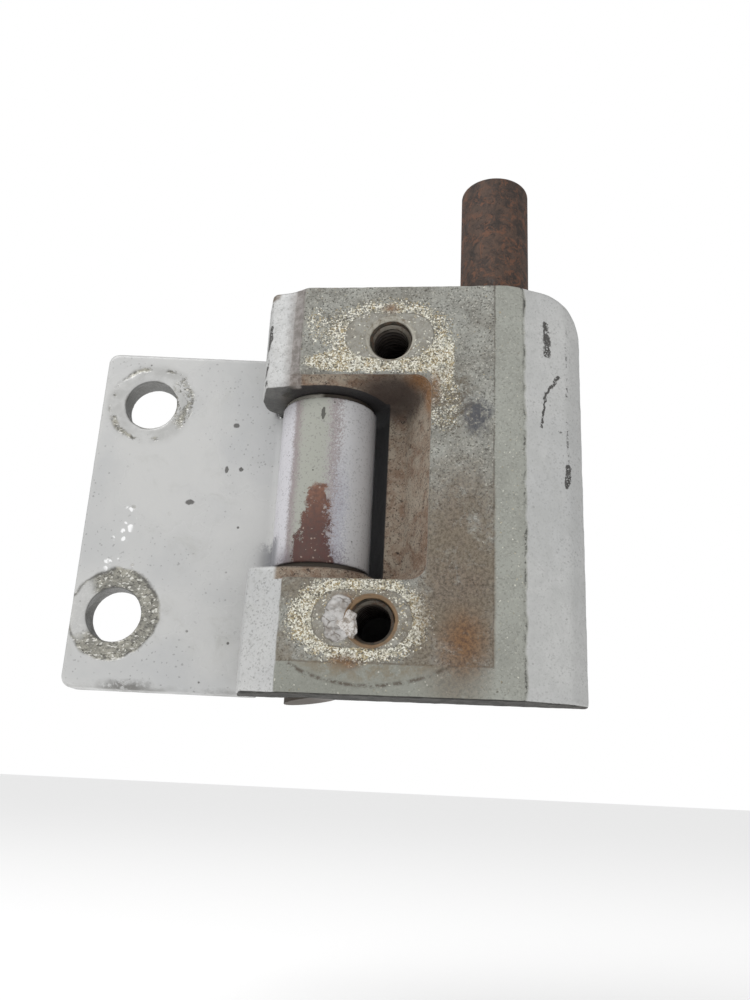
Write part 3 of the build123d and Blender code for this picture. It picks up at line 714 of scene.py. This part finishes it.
def bracket_material():
    g = Graph("bracket_worn_casting")
    paint, paint_roughness, paint_height = paint_layer(g, 30.0)
    ragged = g.wavering(0.9, 3.0, 33.0)
    rx, _, _ = g.split(ragged)
    lx, _, lz = g.split(g.wavering(0.22, 4.0, 37.0))

    # The mating face
    face = g.times(g.step(g.y, 0.55, 0.35), g.band(rx, PAD_LEFT, PAD_RIGHT + 0.6, 0.3))
    cast, clouds, fine, bright, light_specks = bare_casting(g, ragged)
    cast = mated_print(g, cast, light_specks, lx, lz)
    cast, sparkle, crushed = bedding_rings(g, cast)
    cast = face_stains(g, cast, ragged, fine, sparkle, lx, lz)
    cast, crust, crumbs = spilt_sealant(g, cast)

    # Paint on a cast skin is grimier than paint on plate
    grit = g.noise(0.55, 4, 0.8, 0.2, 34.0)
    paint = g.over(paint, (0.27, 0.27, 0.255), g.step(grit, 0.50, 0.36), 0.45)
    paint = g.over(paint, (0.10, 0.10, 0.09), g.step(g.facets(0.27, 34.7)[0], 0.08, 0.04), 0.35)
    # Right of the pad the paint is coloured darker grey in clouds
    right_side = g.step(g.x, PAD_RIGHT - 1.0, PAD_RIGHT + 1.0)
    right_clouds = g.blend(g.patches(0.40, 0.66, 8, 5, 0.7, 0.5, 34.5), 0.35, 0.8)
    paint = g.over(paint, (0.43, 0.435, 0.425), right_side, right_clouds)
    paint_height = g.add(paint_height, g.times(grit, 0.06))
    colour = g.mix(face, paint, cast)
    roughness = g.blend(face, paint_roughness, g.blend(bright, 0.62, 0.42))
    cast_height = g.add(g.times(fine, 0.22), g.times(clouds, 0.08))
    height = g.blend(face, paint_height, g.subtract(cast_height, 0.2))
    height = g.add(height, g.times(crust, face, g.add(0.3, g.times(g.step(crumbs, 0.0, 0.35), 0.5))))
    height = g.add(height, g.times(sparkle, face, crushed, 0.30))
    sparkle_metal = g.times(sparkle, g.step(crushed, 0.44, 0.72), 0.2)
    metallic = g.times(face, g.most(g.times(bright, 0.5), sparkle_metal), g.without(crust))
    roughness = g.blend(g.times(face, sparkle), roughness, 0.34)

    in_pocket, dust, hollow_shade = pocket_grime_and_shade(g, ragged, clouds)
    colour = g.mix(in_pocket, colour, dust)
    # Painted shade, nearly black, in the hollow round the knuckle and at the ears' inner ends
    colour = g.over(colour, (0.012, 0.012, 0.014), hollow_shade, 0.94)
    roughness = g.blend(g.most(in_pocket, hollow_shade), roughness, 0.85)
    height = g.blend(in_pocket, height, g.times(g.noise(1.2, 5, 0.75, 0.0, 46.0), 0.3))
    colour, roughness = tapped_holes(g, colour, roughness)
    colour = slope_dirt(g, colour)

    corner_rust = g.spot((-23.3, 2.2, 38.3), (1.3, 2.6, 1.4), ragged, soft=0.25)
    colour = g.over(colour, (0.13, 0.10, 0.07), corner_rust, 0.9)
    chips = paint_chips(g, rx, ragged)
    colour = g.over(colour, (0.045, 0.042, 0.038), chips, 0.95)
    roughness = g.blend(chips, roughness, 0.6)
    height = g.subtract(height, g.times(chips, 0.12))

    # Painted shade with dirt: faces turned down are coloured dark and made dull
    under, dirt_and_shade = underside_dirt_and_shade(g)
    colour = g.mix(under, colour, dirt_and_shade)
    roughness = g.blend(under, roughness, 0.95)
    metallic = g.times(metallic, g.without(under))
    return g.finish(colour, roughness, metallic, height)


# ------------------------------------------------------------ pins and bushes
def rusted_material():
    """A turned pin gone over to brown rust, pitted and mottled."""
    g = Graph("rusted_pin")
    mottle = g.noise(3.2, 6, 0.75, 0.8, 60.0)
    fine = g.noise(0.9, 5, 0.8, 0.4, 61.0)
    colour = g.mix(g.step(mottle, 0.38, 0.62), (0.030, 0.021, 0.017), (0.088, 0.052, 0.036))
    red = g.times(g.patches(0.50, 0.60, 2.4, 6, 0.8, 1.2, 62.0), 0.85)
    colour = g.mix(red, colour, (0.15, 0.064, 0.034))
    grey = g.times(g.patches(0.58, 0.70, 4.5, 5, 0.7, 0.6, 63.0), 0.6)
    colour = g.mix(grey, colour, (0.085, 0.080, 0.078))
    pits = g.step(fine, 0.42, 0.32)
    colour = g.over(colour, (0.012, 0.009, 0.008), pits, 0.7)
    roughness = g.blend(grey, 0.72, 0.42)
    height = g.add(g.times(mottle, 0.18), g.times(fine, 0.14))
    return g.finish(colour, roughness, g.times(grey, 0.8), g.subtract(height, g.times(pits, 0.08)))


def dark_steel_material():
    """Dark turned steel: fine rings round the pin and a little rust."""
    g = Graph("dark_steel")
    rings = g.noise(0.25, 2, 0.5, 0.0, 70.0, g.join(0.0, 0.0, g.z))
    stain = g.patches(0.46, 0.66, 3.0, 5, 0.7, 0.5, 71.0)
    colour = g.mix(stain, (0.20, 0.19, 0.18), (0.11, 0.065, 0.045))
    end_grime = g.step(g.z, bracket_low.z + 1.0, bracket_low.z)
    stain = g.most(stain, end_grime)
    colour = g.mix(end_grime, colour, (0.085, 0.072, 0.06))
    return g.finish(colour, g.blend(stain, 0.34, 0.75), g.blend(stain, 0.9, 0.1), g.times(rings, 0.02))


def bronze_material():
    """Dull bronze, darkened by old grease and by painted shade."""
    g = Graph("bush_bronze")
    grease = g.patches(0.52, 0.68, 2.0, 4, 0.6, 0.5, 80.0)
    # The upper flange's left is coloured bright, a painted highlight; the rest is coloured nearly black, old
    # grease and painted shade
    rubbed = g.times(g.step(g.x, hinge_x + 0.5, hinge_x - 1.5), g.step(g.z, 0.0, 5.0))
    grease = g.most(grease, g.without(rubbed))
    colour = g.mix(grease, (0.75, 0.72, 0.64), (0.055, 0.045, 0.036))
    height = g.times(g.noise(0.5, 3, 0.6, 0.0, 81.0), 0.02)
    return g.finish(colour, g.blend(grease, 0.30, 0.55), g.blend(grease, 0.9, 0.5), height)


def thread_material():
    """Oily threads with rust in their roots, coloured darker deeper in the hole as painted shade."""
    g = Graph("thread_steel")
    rust = g.patches(0.46, 0.62, 1.8, 4, 0.7, 0.4, 90.0)
    colour = g.mix(rust, (0.17, 0.155, 0.13), (0.10, 0.062, 0.038))
    # Painted shade: the threads are coloured darker the deeper they lie in the hole
    colour = g.mix(g.step(g.y, 1.5, 5.0), colour, (0.03, 0.024, 0.020))
    height = g.times(g.noise(0.6, 4, 0.7, 0.0, 91.0), 0.06)
    return g.finish(colour, g.blend(rust, 0.38, 0.7), g.blend(rust, 0.85, 0.2), height)


def dress(node, material):
    """Gives a CAD node its material."""
    node_object = frame["nodes"][node]
    node_object.data.materials.clear()
    node_object.data.materials.append(material)


dress("bracket", bracket_material())
dress("leaf", leaf_material())
dress("stub_pin", rusted_material())
dark_steel = dark_steel_material()
for dark_node in ("hinge_pin", "hinge_pin_lock", "stub_pin_lock"):
    dress(dark_node, dark_steel)
bronze = bronze_material()
for bush_node in ("upper_bush", "lower_bush"):
    dress(bush_node, bronze)


# ------------------------------------------------------------ cast surfaces
VOXEL = 0.35 * MM           # the size of the faces that carry the cast skin


def cast_skin(node, grain, depth):
    """Rounds a casting's edges a little and gives its surface a real, shallow unevenness."""
    node_object = frame["nodes"][node]
    remesh = node_object.modifiers.new("fine_faces", "REMESH")
    remesh.mode = "VOXEL"
    remesh.voxel_size = VOXEL
    remesh.use_smooth_shade = True
    smooth = node_object.modifiers.new("soft_edges", "SMOOTH")
    smooth.factor = 0.5
    smooth.iterations = 4
    skin = bpy.data.textures.new(node + "_skin", "CLOUDS")
    skin.noise_scale = grain * MM
    skin.noise_depth = 3
    displace = node_object.modifiers.new("cast_skin", "DISPLACE")
    displace.texture = skin
    displace.texture_coords = "LOCAL"
    displace.mid_level = 1.0
    displace.strength = depth * MM


cast_skin("bracket", 2.2, 0.16)
cast_skin("leaf", 3.0, 0.07)


# ------------------------------------------------------------ pieces added to the bracket
def add_piece(name, mesh, material):
    """Turns a mesh into a piece that rides on the bracket."""
    data = bpy.data.meshes.new(name)
    mesh.to_mesh(data)
    mesh.free()
    data.materials.append(material)
    piece = bpy.data.objects.new(name, data)
    bpy.context.collection.objects.link(piece)
    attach(piece, "bracket")
    return piece


def sweep(name, outlines, material):
    """Adds a closed bar that runs through a row of outlines, whose points are in millimetres."""
    mesh = bmesh.new()
    rings = [[mesh.verts.new([value * MM for value in place]) for place in outline] for outline in outlines]
    for first, second in zip(rings, rings[1:]):
        for a in range(len(first)):
            b = (a + 1) % len(first)
            mesh.faces.new((first[a], first[b], second[b], second[a]))
    mesh.faces.new(rings[0])
    mesh.faces.new(reversed(rings[-1]))
    bmesh.ops.recalc_face_normals(mesh, faces=mesh.faces)
    add_piece(name, mesh, material)


# ------------------------------------------------------------ threads in the tapped holes
THREAD_PITCH = 1.25
THREAD_MINOR_RADIUS = 3.4
THREAD_STEPS = 40           # steps in one turn
THREAD_FIRST_DEPTH = 1.3
THREAD_ROOT_SINK = 0.02     # how far the ridge's foot reaches into the bore's wall
THREAD_ROOT = 0.58          # half the ridge's width at its foot and its crest, in pitches
THREAD_CREST = 0.13


def thread(name, tap, material):
    """The helical ridge of a tapped hole, from the bore's wall in to the thread's minor diameter."""
    radius = mounts[name]["dims"]["r_mm"]
    length = mounts[name]["dims"]["length_mm"] - THREAD_FIRST_DEPTH
    count = int(length / THREAD_PITCH * THREAD_STEPS)
    root = radius + THREAD_ROOT_SINK
    outlines = []
    for index in range(count + 1):
        angle = 2 * pi * index / THREAD_STEPS
        depth = THREAD_FIRST_DEPTH + THREAD_PITCH * index / THREAD_STEPS
        run_in = min(1.0, index / THREAD_STEPS, (count - index) / THREAD_STEPS)
        crest = radius - (radius - THREAD_MINOR_RADIUS) * run_in
        ridge = ((root, -THREAD_ROOT), (crest, -THREAD_CREST), (crest, THREAD_CREST), (root, THREAD_ROOT))
        outlines.append([
            (tap.x + away * cos(angle), depth + shift * THREAD_PITCH, tap.z + away * sin(angle))
            for away, shift in ridge
        ])
    sweep(name + "_thread", outlines, material)


thread_steel = thread_material()
thread("upper_tapped_hole", upper_tap, thread_steel)
thread("lower_tapped_hole", lower_tap, thread_steel)


# ------------------------------------------------------------ dried sealant in the lower hole's mouth
CRUMB_RADII = Vector((2.4, 1.8, 2.9))
CRUMB_ROUGHNESS = 0.34
CRUMB_LEFT_OF_HOLE = 4.3
CRUMB_BELOW_HOLE = 0.8
CRUMB_SINK = 0.03           # the lump's flat front lies this far behind the mating face


def sealant_material():
    """Pale dried sealant with dirty crevices."""
    g = Graph("dried_sealant")
    crevices = g.patches(0.42, 0.56, 0.8, 5, 0.8, 0.4, 95.0)
    colour = g.mix(crevices, (0.30, 0.26, 0.22), (0.64, 0.62, 0.60))
    return g.finish(colour, 0.75, 0.0, g.times(g.noise(0.5, 4, 0.7, 0.0, 96.0), 0.15))


def sealant_crumb():
    """A lump of dried sealant stuck in the left of the lower tapped hole's mouth, flush with the face."""
    mesh = bmesh.new()
    bmesh.ops.create_icosphere(mesh, subdivisions=5, radius=1.0)
    centre = Vector((lower_tap.x - CRUMB_LEFT_OF_HOLE, CRUMB_RADII.y * 0.8, lower_tap.z - CRUMB_BELOW_HOLE))
    for vertex in mesh.verts:
        direction = vertex.co.copy()
        lumps = noise.fractal(direction * 1.5, 1.3, 2.1, 3) - 0.9 * abs(noise.noise(direction * 1.9))
        size = 0.95 + CRUMB_ROUGHNESS * lumps
        place = centre + Vector(d * r for d, r in zip(direction, CRUMB_RADII)) * size
        place.y = max(place.y, CRUMB_SINK)
        vertex.co = place * MM
    add_piece("sealant_crumb", mesh, sealant_material()).data.shade_smooth()


sealant_crumb()


# ------------------------------------------------------------ bead of old paint under the upper ear
BEAD_STEPS = 24
BEAD_SIDES = 10
BEAD_PATH_RADIUS = 11.24    # from the hinge pin's axis to the bead's middle
BEAD_THICKNESS = 0.54       # the bead's own radius
BEAD_HEIGHT = 18.02
BEAD_ARC = (138.0, 170.0)   # where the bead begins and ends, in degrees from +X


def grimy_paint_material():
    """Paint gone grey with grease."""
    g = Graph("grimy_paint")
    grease = g.patches(0.42, 0.60, 1.2, 5, 0.75, 0.4, 97.0)
    colour = g.mix(grease, (0.16, 0.16, 0.155), (0.05, 0.048, 0.045))
    return g.finish(colour, 0.6, 0.0, g.times(g.noise(0.6, 4, 0.7, 0.0, 98.0), 0.08))


def paint_bead():
    """Old paint run together on the rounded rim under the upper ear, in an arc round the hinge pin."""
    outlines = []
    for index in range(BEAD_STEPS + 1):
        share = index / BEAD_STEPS
        angle = radians(BEAD_ARC[0] + (BEAD_ARC[1] - BEAD_ARC[0]) * share)
        thickness = BEAD_THICKNESS * min(1.0, 0.2 + 6 * share, 0.2 + 6 * (1 - share))
        outline = []
        for side in range(BEAD_SIDES):
            around = 2 * pi * side / BEAD_SIDES
            radius = BEAD_PATH_RADIUS + thickness * cos(around)
            height = BEAD_HEIGHT + thickness * sin(around)
            outline.append((hinge_x + radius * cos(angle), hinge_y + radius * sin(angle), height))
        outlines.append(outline)
    sweep("paint_bead", outlines, grimy_paint_material())


paint_bead()


# ------------------------------------------------------------ stage, light and camera
FLOOR_DROP = 0.060          # how far the floor lies below the hinge
FLOOR_SIZE = 30.0
WORLD_LIGHT = 0.42
FLOOR_GLOW = 0.42
KEY_POWER = 1.5             # watts
FILL_POWER = 0.4
CAMERA_PLACE = Vector((0.01637, -0.15235, -0.05536))
CAMERA_FORWARD = Vector((-0.1067, 0.9449, 0.3095))
CAMERA_RIGHT = Vector((0.9942, 0.0971, 0.0461))
CAMERA_LENS = 31.96


def pale_material():
    material = bpy.data.materials.new("pale_floor")
    material.use_nodes = True
    shader = material.node_tree.nodes["Principled BSDF"]
    shader.inputs["Base Color"].default_value = (0.93, 0.93, 0.93, 1)
    shader.inputs["Roughness"].default_value = 0.9
    shader.inputs["Emission Color"].default_value = (1, 1, 1, 1)
    shader.inputs["Emission Strength"].default_value = FLOOR_GLOW
    return material


bpy.ops.mesh.primitive_plane_add(size=FLOOR_SIZE, location=(0, 0, cad_low[2] - FLOOR_DROP))
floor = bpy.context.object
floor.name = "floor"
floor.data.materials.append(pale_material())

world = bpy.data.worlds.new("studio")
bpy.context.scene.world = world
world.use_nodes = True
background = world.node_tree.nodes["Background"]
background.inputs["Color"].default_value = (1, 1, 1, 1)
# The backdrop shows white, and lights the hinge less strongly than that
light_path = world.node_tree.nodes.new("ShaderNodeLightPath")
strength = world.node_tree.nodes.new("ShaderNodeMapRange")
strength.inputs["To Min"].default_value = WORLD_LIGHT
world.node_tree.links.new(light_path.outputs["Is Camera Ray"], strength.inputs["Value"])
world.node_tree.links.new(strength.outputs[0], background.inputs["Strength"])


def area_light(name, place, aim, size, power):
    data = bpy.data.lights.new(name, "AREA")
    data.size = size
    data.energy = power
    light = bpy.data.objects.new(name, data)
    bpy.context.collection.objects.link(light)
    light.location = place
    light.rotation_euler = (Vector(aim) - Vector(place)).to_track_quat("-Z", "Y").to_euler()


middle = (Vector(cad_low) + Vector(cad_high)) / 2
area_light("key", middle + Vector((-0.25, -0.30, 0.40)), middle, 0.30, KEY_POWER)
area_light("fill", middle + Vector((0.35, -0.40, 0.05)), middle, 0.40, FILL_POWER)

# The camera stands low in front of the hinge and looks slightly up at it
camera_data = bpy.data.cameras.new("camera")
camera = bpy.data.objects.new("camera", camera_data)
bpy.context.collection.objects.link(camera)
camera_data.sensor_fit = "VERTICAL"
camera_data.sensor_height = 36.0
camera_data.lens = CAMERA_LENS
camera_data.clip_start = 0.005
forward = CAMERA_FORWARD.normalized()
right = (CAMERA_RIGHT - forward * CAMERA_RIGHT.dot(forward)).normalized()
up = right.cross(forward)
camera.matrix_world = Matrix.Translation(CAMERA_PLACE) @ Matrix((right, up, -forward)).transposed().to_4x4()
bpy.context.scene.camera = camera
bpy.context.scene.view_settings.view_transform = "Standard"
